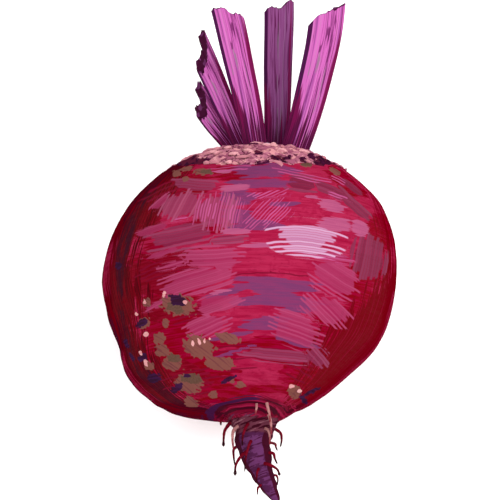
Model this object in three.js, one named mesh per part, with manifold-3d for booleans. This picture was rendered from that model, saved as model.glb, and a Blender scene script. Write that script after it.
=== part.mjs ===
// A beetroot with its leaf stalks cut short, lying on its side.
//
// Millimetres, +Z up. The root's axis runs along Y, from the tail (-Y) to the crown (+Y), and lies
// level above the table, which is the plane Z = 0. The origin is the middle of the flat spot that
// the root rests on. The root is one solid: the swollen globe, its crown and its tapering tail.
// The five leaf stalks and the fine side roots are separate solids, one named mesh each.

import * as THREE from "three";
import { mergeVertices } from "three/addons/utils/BufferGeometryUtils.js";
import Module from "manifold-3d";

const wasm = await Module();
wasm.setup();

// ---- Driving dimensions -------------------------------------------------------------------

const GLOBE_RADIUS = 40; // half the globe's width, side to side
const DEPTH_RATIO = 0.96; // the globe's depth over its width
const FLAT_DEPTH = 1.15; // how far the resting side is flattened
const AXIS_HEIGHT = GLOBE_RADIUS * DEPTH_RATIO - FLAT_DEPTH;
const TAIL_DROOP = 3; // how far the tail's tip sinks below the axis
const GAP = 0.35; // left between the root and each piece that grows from it

const ROOT_SIDES = 56;
const ROOT_STEPS = 50;
const STALK_STEPS = 9;
const STALK_SIDES = 24;
const SIDE_ROOT_SIDES = 6;
const SIDE_ROOT_STEPS = 7;

// ---- Materials ----------------------------------------------------------------------------

const paint = (color, roughness) =>
  new THREE.MeshStandardMaterial({ color, roughness, metalness: 0 });

const SKIN = paint(0xa81f46, 0.5);
const STALK = paint(0xc65aa6, 0.45);
const HAIR = paint(0x7d1f2e, 0.7);

// ---- The root -----------------------------------------------------------------------------

// Places along the axis, from the tail's tip to the top of the crown, each with the radius there
// and how far the ring's middle sits to the side. All are shares of the globe's radius.
const ROOT_STATIONS = [
  [-1.53, 0, 0.19],
  [-1.505, 0.03, 0.176],
  [-1.46, 0.052, 0.146],
  [-1.4, 0.068, 0.118],
  [-1.33, 0.084, 0.086],
  [-1.23, 0.102, 0.048],
  [-1.13, 0.116, 0.027],
  [-1.04, 0.134, 0.036],
  [-0.985, 0.165, 0.024],
  [-0.95, 0.225, 0.012],
  [-0.925, 0.315, -0.036],
  [-0.897, 0.425, -0.1],
  [-0.85, 0.52, -0.108],
  [-0.75, 0.66, -0.102],
  [-0.62, 0.776, -0.075],
  [-0.455, 0.876, -0.014],
  [-0.25, 0.954, 0],
  [0, 1, 0],
  [0.27, 0.966, 0.02],
  [0.48, 0.876, 0.037],
  [0.6, 0.785, 0.041],
  [0.69, 0.69, 0.042],
  [0.77, 0.575, 0.048],
  [0.835, 0.45, 0.05],
  [0.88, 0.33, 0.055],
  [0.9, 0.17, 0.058],
  [0.904, 0, 0.06],
];

// The outline as a curve: x is the radius, y the place along the axis, z the shift to the side.
const rootOutline = new THREE.CatmullRomCurve3(
  ROOT_STATIONS.map(([along, radius, shift]) =>
    new THREE.Vector3(radius, along, shift).multiplyScalar(GLOBE_RADIUS),
  ),
  false,
  "centripetal",
);

const outlinePoints = rootOutline.getPoints(ROOT_STEPS);
outlinePoints.forEach((p) => (p.x = Math.max(p.x, 0)));
outlinePoints[0].x = 0;
outlinePoints.at(-1).x = 0;

// The ring of the root at a place along the axis.
function ringAt(along) {
  const next = outlinePoints.findIndex((p) => p.y >= along);
  const above = outlinePoints[Math.max(next, 1)];
  const below = outlinePoints[Math.max(next, 1) - 1];
  return below.clone().lerp(above, (along - below.y) / (above.y - below.y));
}

const TAIL_START = -GLOBE_RADIUS;
const TAIL_LENGTH = TAIL_START - outlinePoints[0].y;

function droopAt(along) {
  const share = Math.max(0, (TAIL_START - along) / TAIL_LENGTH);
  return TAIL_DROOP * share ** 2;
}

// A point on the root. The angle is measured about the axis, from straight up towards +X.
function rootSurface(along, degrees) {
  const ring = ringAt(along);
  const angle = THREE.MathUtils.degToRad(degrees);
  return new THREE.Vector3(
    ring.z + ring.x * Math.sin(angle),
    along,
    AXIS_HEIGHT - droopAt(along) + ring.x * Math.cos(angle) * DEPTH_RATIO,
  );
}

// The way the root's skin faces at a point on it.
function rootNormal(along, degrees) {
  const round = rootSurface(along, degrees + 1).sub(rootSurface(along, degrees - 1));
  const ahead = rootSurface(along + 0.3, degrees).sub(rootSurface(along - 0.3, degrees));
  return round.cross(ahead).normalize();
}

// The root's shape, grown all round by a margin.
function rootGeometry(margin = 0) {
  const profile = outlinePoints.map((p) => new THREE.Vector2(p.x && p.x + margin, p.y));
  profile[0].y -= margin;
  profile.at(-1).y += margin;
  const geometry = new THREE.LatheGeometry(profile, ROOT_SIDES);
  const at = geometry.getAttribute("position");
  for (let i = 0; i < at.count; i += 1) {
    const ring = outlinePoints[i % outlinePoints.length];
    at.setX(i, at.getX(i) + ring.z);
    at.setZ(i, at.getZ(i) * DEPTH_RATIO + AXIS_HEIGHT - droopAt(ring.y));
  }
  return geometry;
}

// ---- Solids -------------------------------------------------------------------------------

function toSolid(geometry) {
  const bare = geometry.clone();
  bare.deleteAttribute("normal");
  bare.deleteAttribute("uv");
  const merged = mergeVertices(bare, 1e-3);
  return new wasm.Manifold(
    new wasm.Mesh({
      numProp: 3,
      vertProperties: new Float32Array(merged.getAttribute("position").array),
      triVerts: new Uint32Array(merged.index.array),
    }),
  );
}

function toGeometry(solid) {
  const mesh = solid.getMesh();
  const geometry = new THREE.BufferGeometry();
  geometry.setAttribute(
    "position",
    new THREE.BufferAttribute(new Float32Array(mesh.vertProperties), 3),
  );
  geometry.setIndex(new THREE.BufferAttribute(new Uint32Array(mesh.triVerts), 1));
  geometry.computeVertexNormals();
  return geometry;
}

function mesh(name, geometry, material) {
  const made = new THREE.Mesh(geometry, material);
  made.name = name;
  return made;
}

// A trimmed piece without the slivers that the trimming may leave.
function mainPiece(solid) {
  return solid.decompose().sort((a, b) => b.volume() - a.volume())[0];
}

// Everything below the table, which takes the flat spot off the globe.
const belowTable = toSolid(
  new THREE.BoxGeometry(200, 200, 20).translate(0, 0, -10),
);
const rootSolid = toSolid(rootGeometry()).subtract(belowTable);

// The root with the gap added all round, which trims the foot of each piece growing from it.
const grownRoot = toSolid(
  rootGeometry(GAP * 1.3).translate(0, GAP * 0.7, 0),
).add(toSolid(rootGeometry(GAP * 1.3).translate(0, -GAP * 0.7, 0)));

// ---- Sweeping a section along a curve -----------------------------------------------------

// Extrudes a section drawn about the origin, one unit wide each way, along a curve. sizeAt gives
// its size at a share of the length, up is the way that the section's y axis faces, and endAt
// says how much of the length the material reaches at a point of the section.
function sweep(section, steps, curve, sizeAt, up, endAt = () => 1) {
  const geometry = new THREE.ExtrudeGeometry(section, {
    depth: 1,
    steps,
    bevelEnabled: false,
  });
  const at = geometry.getAttribute("position");
  const point = new THREE.Vector3();
  const side = new THREE.Vector3();
  const face = new THREE.Vector3();
  for (let i = 0; i < at.count; i += 1) {
    point.fromBufferAttribute(at, i);
    const share = point.z * endAt(point.x, point.y);
    const tangent = curve.getTangent(Math.min(share, 1));
    side.crossVectors(up, tangent).normalize();
    face.crossVectors(tangent, side).normalize();
    const size = sizeAt(Math.min(share, 1));
    const place = curve
      .getPoint(Math.min(share, 1))
      .addScaledVector(side, point.x * size)
      .addScaledVector(face, point.y * size)
      .addScaledVector(tangent, Math.max(share - 1, 0) * curve.getLength());
    at.setXYZ(i, place.x, place.y, place.z);
  }
  return geometry;
}

// ---- Leaf stalks --------------------------------------------------------------------------

// Half a stalk's section is one unit wide. The outer side is ribbed and bulges along +y, and the
// inner side has a shallow groove between two lips.
const STALK_SECTION = new THREE.Shape(
  new THREE.CatmullRomCurve3(
    [
      [-1, 0],
      [-0.7, -0.27],
      [-0.25, -0.1],
      [0.25, -0.1],
      [0.7, -0.27],
      [1, 0],
      [0.76, 0.36],
      [0.28, 0.54],
      [-0.28, 0.54],
      [-0.76, 0.36],
    ].map(([x, y]) => new THREE.Vector3(x, y, 0)),
    true,
    "centripetal",
  )
    .getPoints(STALK_SIDES)
    .slice(0, STALK_SIDES)
    .map(({ x, y }) => new THREE.Vector2(x, y)),
);

const STALK_FOOT_DEPTH = 2.5; // how far a stalk is drawn into the crown before it is trimmed
const CROWN_TOP = outlinePoints.at(-1).y;

// Each stalk: foot and tip are [x, distance beyond the crown's top, height above the axis]; bow
// pushes its middle sideways; half widths are at the foot and the tip; lean turns its ribbed face
// from straight up, in degrees; cut is how much longer its +x edge is than its middle, and slant
// how much shorter its thick side is, as shares of the length. Tear is the torn edge: pairs of a
// place across the stalk, from -1 to 1 along x, and how far the edge stands out there.
const STALKS = {
  leaf_stalk_far_left: {
    foot: [-2.8, 0, -4.6],
    tip: [-13.7, 16, -6.6],
    bow: -0.2,
    halfWidths: [1.9, 3.2],
    lean: -22,
    cut: 0.2,
    slant: 0.2,
    tear: [
      [-1, 0.1],
      [-0.7, 0.5],
      [-0.3, -0.4],
      [0, -0.9],
      [0.4, -0.7],
      [0.8, -0.3],
      [1, 0],
    ],
  },
  leaf_stalk_left: {
    foot: [-0.9, 0, -0.4],
    tip: [-13.1, 28.8, -1.6],
    bow: -0.1,
    halfWidths: [2.4, 3.2],
    lean: -18,
    cut: 0.15,
    slant: 0.12,
    tear: [
      [-1, 0.6],
      [-0.75, 0],
      [-0.5, -0.8],
      [-0.2, 0.1],
      [0.2, -0.7],
      [0.6, -0.1],
      [1, -0.1],
    ],
  },
  leaf_stalk_centre_left: {
    foot: [1.7, 0, 4.6],
    tip: [-6.2, 38, 6.6],
    bow: 0.4,
    halfWidths: [3.0, 4.1],
    lean: -6,
    cut: -0.035,
    slant: 0,
    tear: [
      [-1, -0.6],
      [-0.85, 0.3],
      [-0.4, 0.5],
      [0, 0],
      [0.25, -1.2],
      [0.4, -1.4],
      [0.55, -0.9],
      [0.8, -1],
      [0.92, -1.6],
      [1, -2.4],
    ],
  },
  leaf_stalk_centre: {
    foot: [7.2, 0, -2.3],
    tip: [8.2, 42.6, -6.4],
    bow: 0.2,
    halfWidths: [3.1, 4.0],
    lean: 180,
    cut: 0.02,
    slant: 0,
    tear: [
      [-1, 0],
      [-0.9, 0.6],
      [-0.4, 0.7],
      [-0.1, 0.1],
      [0.15, 0.1],
      [0.4, 0.8],
      [0.8, 1.3],
      [1, 1.2],
    ],
  },
  leaf_stalk_right: {
    foot: [11.8, -1, 3],
    tip: [21.2, 37.2, 5.4],
    bow: 1.2,
    halfWidths: [3.7, 4.8],
    lean: 10,
    cut: 0.09,
    slant: 0,
    tear: [
      [-1, -0.8],
      [-0.85, 0.2],
      [-0.6, 1.2],
      [-0.35, 1],
      [-0.2, 0.3],
      [-0.05, 0.7],
      [0.3, 0.2],
      [0.7, -0.3],
      [0.9, 0],
      [1, 0.4],
    ],
  },
};

function tornEdge(tear, across) {
  const next = Math.max(1, tear.findIndex(([x]) => x >= across));
  const [[fromX, from], [toX, to]] = [tear[next - 1], tear[next]];
  return THREE.MathUtils.mapLinear(across, fromX, toX, from, to);
}

function stalkGeometry({ foot, tip, bow, halfWidths, lean, cut, slant, tear }) {
  const place = ([x, beyond, height]) =>
    new THREE.Vector3(x, CROWN_TOP + beyond, AXIS_HEIGHT + height);
  const start = place(foot);
  const end = place(tip);
  const run = end.clone().sub(start).normalize();
  const middle = start.clone().lerp(end, 0.5);
  middle.x += bow;
  start.addScaledVector(run, -STALK_FOOT_DEPTH);
  const curve = new THREE.QuadraticBezierCurve3(
    start,
    middle.multiplyScalar(2).sub(start.clone().add(end).multiplyScalar(0.5)),
    end,
  );
  const up = new THREE.Vector3(0, 0, 1).applyAxisAngle(
    new THREE.Vector3(0, 1, 0),
    THREE.MathUtils.degToRad(lean),
  );
  const towardsX = Math.abs(lean) > 90 ? 1 : -1;
  const sizeAt = (share) =>
    THREE.MathUtils.lerp(...halfWidths, Math.sin((share * Math.PI) / 2));
  const length = start.distanceTo(end);
  const endAt = (x, y) => {
    const across = THREE.MathUtils.clamp(x * towardsX, -1, 1);
    return 1 + cut * across - 2 * slant * y + tornEdge(tear, across) / length;
  };
  const solid = toSolid(
    sweep(STALK_SECTION, STALK_STEPS, curve, sizeAt, up, endAt),
  );
  return toGeometry(mainPiece(solid.subtract(grownRoot)));
}

// ---- Side roots ---------------------------------------------------------------------------

const SIDE_ROOT_SECTION = new THREE.Shape(
  Array.from({ length: SIDE_ROOT_SIDES }, (_, i) => {
    const angle = (i * 2 * Math.PI) / SIDE_ROOT_SIDES;
    return new THREE.Vector2(Math.cos(angle), Math.sin(angle));
  }),
);

// Each side root: where it leaves the root, as a place along the axis and an angle about it; how
// far it then runs towards the tail's tip; how far it stands off half way and at its end; how far
// it sways sideways; and its radius at the start.
const SIDE_ROOTS = [
  // on the upper side, from the shoulder down to the tail's tip
  [-38.4, -84, 1.2, 0.3, 0.2, 0, 0.4],
  [-39.7, -80, 4.7, 1.9, 2, 0, 0.5],
  [-41, -54, 6.2, 1.3, 0.9, 0, 0.5],
  [-40.9, -18, 5.8, 0.8, 0.5, 1.3, 0.46],
  [-48, -31, 6.2, 1.7, 1.3, 2.7, 0.52],
  [-36.9, 16, 2.2, 0.4, 0.4, 0.4, 0.36],
  [-36.6, 30, 4.4, 0.5, 0.5, -0.8, 0.44],
  [-38.7, 36, 4.8, 0.4, 0.1, -0.4, 0.46],
  [-41.9, 34, 4.4, 0.9, 0.6, -0.4, 0.42],
  [-45, 88, 2, 0.7, 1.1, 0, 0.4],
  [-48.1, 57, 3.5, 1, 1.8, -0.5, 0.48],
  [-51.2, 22, 3.2, 1.6, 1.4, -3.6, 0.5],
  [-45.3, -8, 8.6, 0.8, 1.2, 1.5, 0.44],
  [-52.6, -12, 3.6, 0.8, 0.8, 0.3, 0.38],
  [-56.6, -50, 2, 0.7, 0.8, 0, 0.36],
  // on the under side
  [-40.6, 112, 4.6, 1.6, 1.2, 0, 0.46],
  [-43.4, 150, 6.2, 1.2, 1, 0.5, 0.46],
  [-49.2, 176, 5.6, 1.6, 1, -0.8, 0.46],
  [-41.4, -158, 5.6, 1.4, 0.9, -0.4, 0.46],
  [-45.2, -118, 5.2, 1, 0.7, 0.6, 0.44],
  [-53.2, 128, 3.2, 1.1, 0.8, 0.4, 0.38],
];

const TIP_SHARE = 0.4; // a side root's radius at its tip, over that at its start

function sideRootGeometry([along, degrees, run, midOff, endOff, sway, radius]) {
  const start = rootSurface(along, degrees);
  const axis = new THREE.Vector3(0, 1, 0);
  const out = rootNormal(along, degrees);
  const sideways = out.clone().cross(axis).normalize();
  const at = (outward, down, across) =>
    start
      .clone()
      .addScaledVector(out, outward)
      .addScaledVector(axis, -down)
      .addScaledVector(sideways, across);
  const curve = new THREE.CatmullRomCurve3([
    at(-radius, 0, 0),
    at(GAP * 2 + midOff * 0.75, run * 0.14, sway * 0.25),
    at(GAP * 2 + midOff, run * 0.5, sway * 0.8),
    at(GAP * 2 + endOff, run, sway),
  ]);
  const sizeAt = (share) => radius * THREE.MathUtils.lerp(1, TIP_SHARE, share);
  const whole = sweep(SIDE_ROOT_SECTION, SIDE_ROOT_STEPS, curve, sizeAt, sideways);
  return toGeometry(mainPiece(toSolid(whole).subtract(grownRoot)));
}

// ---- The beetroot -------------------------------------------------------------------------

const beetroot = new THREE.Group();
beetroot.add(mesh("root", toGeometry(rootSolid), SKIN));

for (const [name, stalk] of Object.entries(STALKS))
  beetroot.add(mesh(name, stalkGeometry(stalk), STALK));

SIDE_ROOTS.forEach((row, i) => {
  const name = `side_root_${String(i + 1).padStart(2, "0")}`;
  beetroot.add(mesh(name, sideRootGeometry(row), HAIR));
});

export default beetroot;
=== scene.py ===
"""A beetroot with its leaf stalks cut short, lying on its side on a pale floor.

The shapes repeat the frame's own dimensions in millimetres and carry them on into skin, cork,
wrinkles, ribs and torn ends. The root's axis runs along Y, the table is the plane Z = 0.
"""

import math

import bpy
import numpy as np
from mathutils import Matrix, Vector, noise


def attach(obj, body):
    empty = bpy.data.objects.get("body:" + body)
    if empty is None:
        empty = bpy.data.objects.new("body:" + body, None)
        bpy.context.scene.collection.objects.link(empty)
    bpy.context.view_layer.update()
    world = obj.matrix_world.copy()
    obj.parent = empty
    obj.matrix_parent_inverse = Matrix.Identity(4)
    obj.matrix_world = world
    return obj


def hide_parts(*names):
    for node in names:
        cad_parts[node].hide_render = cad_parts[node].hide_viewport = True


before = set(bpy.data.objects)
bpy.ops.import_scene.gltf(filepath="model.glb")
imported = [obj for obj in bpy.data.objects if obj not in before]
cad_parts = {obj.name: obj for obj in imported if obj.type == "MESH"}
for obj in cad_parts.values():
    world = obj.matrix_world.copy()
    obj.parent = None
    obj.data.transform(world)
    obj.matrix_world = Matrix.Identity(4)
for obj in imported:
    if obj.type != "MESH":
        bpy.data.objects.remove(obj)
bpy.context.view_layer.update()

MM = 0.001

# ---- Dimensions shared with the frame -----------------------------------------------------

GLOBE = 40.0
DEPTH = 0.96
AXIS_HEIGHT = 37.25
TAIL_DROOP = 3.0

# Along the axis, radius there, and shift to the side, as shares of the globe's radius.
STATIONS = [
    (-1.53, 0, 0.19), (-1.505, 0.03, 0.176), (-1.46, 0.052, 0.146), (-1.4, 0.068, 0.118),
    (-1.33, 0.084, 0.086), (-1.23, 0.102, 0.048), (-1.13, 0.116, 0.027), (-1.04, 0.134, 0.036),
    (-0.985, 0.165, 0.024), (-0.95, 0.225, 0.012), (-0.925, 0.315, -0.036),
    (-0.897, 0.425, -0.1), (-0.85, 0.52, -0.108), (-0.75, 0.66, -0.102), (-0.62, 0.776, -0.075),
    (-0.455, 0.876, -0.014), (-0.25, 0.954, 0), (0, 1, 0), (0.27, 0.966, 0.02),
    (0.48, 0.876, 0.037), (0.6, 0.785, 0.041), (0.69, 0.69, 0.042), (0.77, 0.575, 0.048),
    (0.835, 0.45, 0.05), (0.88, 0.33, 0.055), (0.9, 0.17, 0.058), (0.904, 0, 0.06),
]


def smooth_curve(points, per_span=80):
    """A centripetal Catmull-Rom curve through the points, as an array of places."""
    p = np.array(points, float)
    p = np.vstack([2 * p[0] - p[1], p, 2 * p[-1] - p[-2]])
    gap = np.maximum(np.linalg.norm(np.diff(p, axis=0), axis=1) ** 0.5, 1e-9)
    t = np.linspace(0, 1, per_span, endpoint=False)[:, None]
    spans = []
    for i in range(1, len(p) - 2):
        d0, d1, d2 = gap[i - 1], gap[i], gap[i + 1]
        a, b, c, d = p[i - 1], p[i], p[i + 1], p[i + 2]
        m1 = d1 * ((b - a) / d0 - (c - a) / (d0 + d1) + (c - b) / d1)
        m2 = d1 * ((c - b) / d1 - (d - b) / (d1 + d2) + (d - c) / d2)
        spans.append(
            b * (2 * t**3 - 3 * t**2 + 1)
            + m1 * (t**3 - 2 * t**2 + t)
            + c * (-2 * t**3 + 3 * t**2)
            + m2 * (t**3 - t**2)
        )
    return np.vstack(spans + [p[-2][None, :]])


OUTLINE = smooth_curve(STATIONS) * GLOBE
OUTLINE[:, 1] = np.maximum(OUTLINE[:, 1], 0)
TAIL_START = -GLOBE
TAIL_END = OUTLINE[0, 0]
CROWN_TOP = OUTLINE[-1, 0]


def ring_at(along):
    """Radius and sideways shift of the root at places along its axis."""
    radius = np.interp(along, OUTLINE[:, 0], OUTLINE[:, 1])
    shift = np.interp(along, OUTLINE[:, 0], OUTLINE[:, 2])
    return radius, shift


def droop_at(along):
    """How far the tail hangs below the root's axis."""
    share = np.maximum(0, (TAIL_START - along) / (TAIL_START - TAIL_END))
    return TAIL_DROOP * share**2


def on_root(along, degrees):
    """The place on the plain root at a distance along its axis and an angle from the top."""
    radius, shift = ring_at(along)
    angle = math.radians(degrees)
    x = shift + radius * math.sin(angle)
    z = AXIS_HEIGHT - droop_at(along) + radius * math.cos(angle) * DEPTH
    return Vector((x, along, z))


def root_normal(along, degrees):
    step = 0.3
    across = on_root(along, degrees + 1) - on_root(along, degrees - 1)
    ahead = on_root(along + step, degrees) - on_root(along - step, degrees)
    return across.cross(ahead).normalized()


# ---- The sheet that patches are laid out on -----------------------------------------------

# The camera leans this far from straight above, towards the tail. Patches on the upper side are
# laid out on a flat sheet that faces it, with its middle on the globe's axis.
CAMERA_TIP = math.radians(14)


def up_the_sheet(y, z):
    return y * math.cos(CAMERA_TIP) + (z - AXIS_HEIGHT) * math.sin(CAMERA_TIP)


def toward_the_camera(normal_y, normal_z):
    """The share of a normal that points at the camera, from -1 to 1."""
    return normal_z * math.cos(CAMERA_TIP) - normal_y * math.sin(CAMERA_TIP)


# ---- Small helpers ------------------------------------------------------------------------


def rise(x, low, high):
    """0 below low, 1 above high, smooth between."""
    t = np.clip((x - low) / (high - low), 0, 1)
    return t * t * (3 - 2 * t)


def fall(x, low, high):
    """1 below low, 0 above high, smooth between."""
    return rise(-x, -high, -low)


def band(x, start, full, full_end, end):
    """0 outside start and end, 1 between full and full_end, smooth between."""
    return rise(x, start, full) * fall(x, full_end, end)


def lumps(points, size, seed=0.0, octaves=1):
    """Noise from -1 to 1 over places in mm, with features of the given size."""
    out = np.zeros(len(points))
    gain = 1.0
    for o in range(octaves):
        k = 2**o / size
        out += gain * np.array(
            [noise.noise((x * k + seed, y * k - seed, z * k + 2 * seed)) for x, y, z in points]
        )
        gain *= 0.5
    return out


def make_piece(name, verts_mm, faces, node, material, masks):
    """A new piece on the root's body. Each mask is a value from 0 to 1 at every vertex."""
    mesh = bpy.data.meshes.new(name)
    mesh.from_pydata([tuple(v) for v in np.asarray(verts_mm) * MM], [], faces)
    mesh.validate()
    for key, values in masks.items():
        layer = mesh.attributes.new(key, "FLOAT", "POINT")
        layer.data.foreach_set("value", np.asarray(values, np.float32))
    mesh.polygons.foreach_set("use_smooth", [True] * len(mesh.polygons))
    mesh.materials.append(material)
    mesh.update()
    piece = bpy.data.objects.new(name, mesh)
    bpy.context.scene.collection.objects.link(piece)
    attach(piece, "root")
    if node:
        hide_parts(node)
    return piece


def ring_faces(rows, columns, start=0):
    """Quads between closed rings of the given number of columns, from vertex start on."""
    faces = []
    for r in range(rows - 1):
        a, b = start + r * columns, start + (r + 1) * columns
        for c in range(columns):
            d = (c + 1) % columns
            faces.append((a + c, a + d, b + d, b + c))
    return faces


def tube_faces(rows, columns, start=0):
    """The quads between closed rings, and a flat face at each end."""
    last = start + (rows - 1) * columns
    ends = [tuple(reversed(range(start, start + columns))), tuple(range(last, last + columns))]
    return ring_faces(rows, columns, start) + ends


# ---- Painting with nodes ------------------------------------------------------------------

PAINT_SHARE = 0.505  # how much of a colour's brightness is the paint's, the rest being the light's


def colour(code):
    """A hex colour, as it shows under the studio light, as a paint's linear values."""
    parts = [int(code[i : i + 2], 16) / 255 for i in (0, 2, 4)]
    lit = [c / 12.92 if c <= 0.04045 else ((c + 0.055) / 1.055) ** 2.4 for c in parts]
    return [c * PAINT_SHARE for c in lit] + [1]


class Paint:
    """A node material, built up layer by layer. Colours are hex codes, values or sockets."""

    def __init__(self, name, roughness=0.5, specular=0.0):
        self.mat = bpy.data.materials.new(name)
        self.mat.use_nodes = True
        self.tree = self.mat.node_tree
        self.shader = self.tree.nodes["Principled BSDF"]
        self.shader.inputs["Roughness"].default_value = roughness
        self.shader.inputs["Specular IOR Level"].default_value = specular
        here = self.node("ShaderNodeTexCoord").outputs["Object"]
        self.place = self.scaled(here, 1 / MM)

    def node(self, kind, inputs=(), **props):
        made = self.tree.nodes.new(kind)
        for key, value in props.items():
            setattr(made, key, value)
        for key, value in dict(inputs).items():
            self.feed(made.inputs[key], value)
        return made

    def feed(self, socket, value):
        if isinstance(value, bpy.types.NodeSocket):
            self.tree.links.new(value, socket)
        elif isinstance(value, str):
            socket.default_value = colour(value)
        else:
            socket.default_value = value

    def math(self, op, a, b=0.0, clamp=False):
        made = self.node("ShaderNodeMath", {0: a, 1: b}, operation=op, use_clamp=clamp)
        return made.outputs[0]

    def multiply_add(self, a, b, c):
        made = self.node("ShaderNodeMath", {0: a, 1: b, 2: c}, operation="MULTIPLY_ADD")
        return made.outputs[0]

    def apart(self, a, b):
        return self.math("ABSOLUTE", self.math("SUBTRACT", a, b))

    def vector(self, op, a, b=(0, 0, 0)):
        return self.node("ShaderNodeVectorMath", {0: a, 1: b}, operation=op).outputs[0]

    def scaled(self, a, scale):
        inputs = {0: a, "Scale": scale}
        return self.node("ShaderNodeVectorMath", inputs, operation="SCALE").outputs[0]

    def attribute(self, name):
        return self.node("ShaderNodeAttribute", attribute_name=name).outputs["Fac"]

    def noise(self, vector, scale=1.0, detail=2.0, rough=0.5):
        inputs = {"Vector": vector, "Scale": scale, "Detail": detail, "Roughness": rough}
        return self.node("ShaderNodeTexNoise", inputs).outputs["Fac"]

    def span(self, value, low, high, start=0.0, end=1.0):
        """A smooth step from start, where the value is low, to end, where it is high."""
        made = self.node(
            "ShaderNodeMapRange",
            {"Value": value, "From Min": low, "From Max": high, "To Min": start, "To Max": end},
            interpolation_type="SMOOTHSTEP",
        )
        return made.outputs["Result"]

    def mix(self, share, a, b):
        return self.node(
            "ShaderNodeMix", {"Factor": share, 6: a, 7: b}, data_type="RGBA"
        ).outputs[2]

    def coat(self, base, share, hue, strength=1.0):
        """Lays a colour over another as far as the share says."""
        if strength < 1:
            share = self.math("MULTIPLY", share, strength)
        return self.mix(share, base, hue)

    def edge(self, name, streak, wander, soft=0.05, level=0.5):
        """Cuts a soft mask to a crisp edge that wanders with a streak noise."""
        mask = self.attribute(name)
        moved = self.multiply_add(streak, wander, -0.5 * wander)
        cut = self.span(self.math("ADD", mask, moved), level - soft, level + soft)
        return self.math("MULTIPLY", cut, self.span(mask, 0.02, 0.15))

    def gloss(self, level):
        """A sheen that dies away at grazing angles, so that dark flanks stay dark."""
        turned = self.node("ShaderNodeLayerWeight", {"Blend": 0.5}).outputs["Facing"]
        sheen = self.span(turned, 0.72, 0.3, 0, level)
        self.feed(self.shader.inputs["Specular IOR Level"], sheen)

    def bump(self, height, distance_mm, strength):
        inputs = {"Height": height, "Distance": distance_mm * MM, "Strength": strength}
        normal = self.node("ShaderNodeBump", inputs).outputs["Normal"]
        self.feed(self.shader.inputs["Normal"], normal)

    def finish(self, base, roughness=None):
        self.feed(self.shader.inputs["Base Color"], base)
        if roughness is not None:
            self.feed(self.shader.inputs["Roughness"], roughness)
        return self.mat


# ---- The root's skin ----------------------------------------------------------------------


class SkinPaint(Paint):
    """The root's paint, with the streak noises that its layers share."""

    def __init__(self, name):
        super().__init__(name)
        self.x, self.along, _ = self.node("ShaderNodeSeparateXYZ", {0: self.place}).outputs
        off = self.vector("SUBTRACT", self.place, (0, 0, AXIS_HEIGHT))
        self.out = self.vector("NORMALIZE", self.vector("MULTIPLY", off, (1, 0, 1)))
        self.arc = self.round_streaks(3.2, 0.9)
        self.arc_fine = self.round_streaks(5.0, 2.4, offset=7.0)
        self.tone = self.span(self.arc_fine, 0.4, 0.6)
        self.upright = self.span(self.long_streaks(44.0, offset=51.0), 0.36, 0.64)
        self.steep = self.span(self.long_streaks(52.0, lean=-0.0075, offset=57.0), 0.36, 0.64)
        self.blots = self.noise(self.place, 0.35, 3.0, 0.6)
        self.grain = self.noise(self.place, 2.2, 3.0, 0.6)
        self.wobble = self.math("MULTIPLY", self.noise(self.place, 0.16), 1.3)

    def cells(self, direction, around, up, detail, rough):
        tall = self.node("ShaderNodeCombineXYZ", {1: up}).outputs[0]
        spot = self.vector("ADD", self.scaled(direction, around), tall)
        return self.noise(spot, 1.0, detail, rough)

    def round_streaks(self, around, per_mm, slope=0.0, detail=2.0, offset=0.0):
        """Noise with so many cells per radian round the root, and per mm along its axis."""
        up = self.multiply_add(self.x, slope, self.along)
        return self.cells(self.out, around, self.multiply_add(up, per_mm, offset), detail, 0.55)

    def long_streaks(self, around, lean=0.0, offset=0.0):
        """Noise in strokes along the root, each turning round it by lean radians a mm."""
        turn = self.math("MULTIPLY", self.along, lean)
        turned = self.node(
            "ShaderNodeVectorRotate", {"Vector": self.out, "Axis": (0, 1, 0), "Angle": turn}
        ).outputs[0]
        return self.cells(turned, around, self.multiply_add(self.along, 0.06, offset), 2.0, 0.6)

    def layer(self, base, name, hues, streaks, wander, strength=1.0, level=0.5, second=None):
        """A ragged patch of two hues. The second hue shows where its own share says."""
        hue = self.mix(self.tone if second is None else second, *hues)
        return self.coat(base, self.edge(name, streaks, wander, level=level), hue, strength)

    def brush(self, base, name, hues, pitch, fill, strength, gap=0.0, fray=0.6):
        """Parallel brush strokes inside a soft mask, each ending where it likes.

        The pitch is in mm, fill is the share of it that a stroke covers, and gap is how much
        paint there is between strokes.
        """
        spread = 0.14  # how far strokes differ in width, as a share of the pitch
        mask = self.attribute(name)
        phase = self.multiply_add(self.attribute(name + "_across"), 1 / pitch, self.wobble)
        own = self.node(
            "ShaderNodeTexWhiteNoise", {"W": self.math("FLOOR", phase)}, noise_dimensions="1D"
        ).outputs["Value"]
        off = self.multiply_add(own, spread, self.apart(self.math("FRACT", phase), 0.5))
        line = self.span(off, fill / 2 + spread, fill / 2 - 0.02, gap, 1.0)
        reach = self.math("ADD", mask, self.multiply_add(own, fray, -0.5 * fray))
        reach = self.multiply_add(self.wobble, 0.3, reach)
        inside = self.math("MULTIPLY", self.span(reach, 0.56, 0.64), self.span(mask, 0.02, 0.12))
        share = self.math("MULTIPLY", inside, line)
        return self.coat(base, share, self.mix(own, *hues), strength)


def skin_ground(p):
    """Crimson, lighter and darker in arcs round the root, with a few thin drawn lines."""
    base = p.mix(p.span(p.arc, 0.3, 0.62), "A50F3C", "B82650")
    base = p.coat(base, p.span(p.blots, 0.5, 0.62), "AC1A45")
    base = p.coat(base, p.span(p.arc_fine, 0.57, 0.61), "94002E", 0.45)
    off_line = p.apart(p.round_streaks(2.6, 1.1, detail=3.0, offset=17.0), 0.5)
    return p.coat(base, p.span(off_line, 0.012, 0.005), "8A0A34", 0.5)


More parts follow.
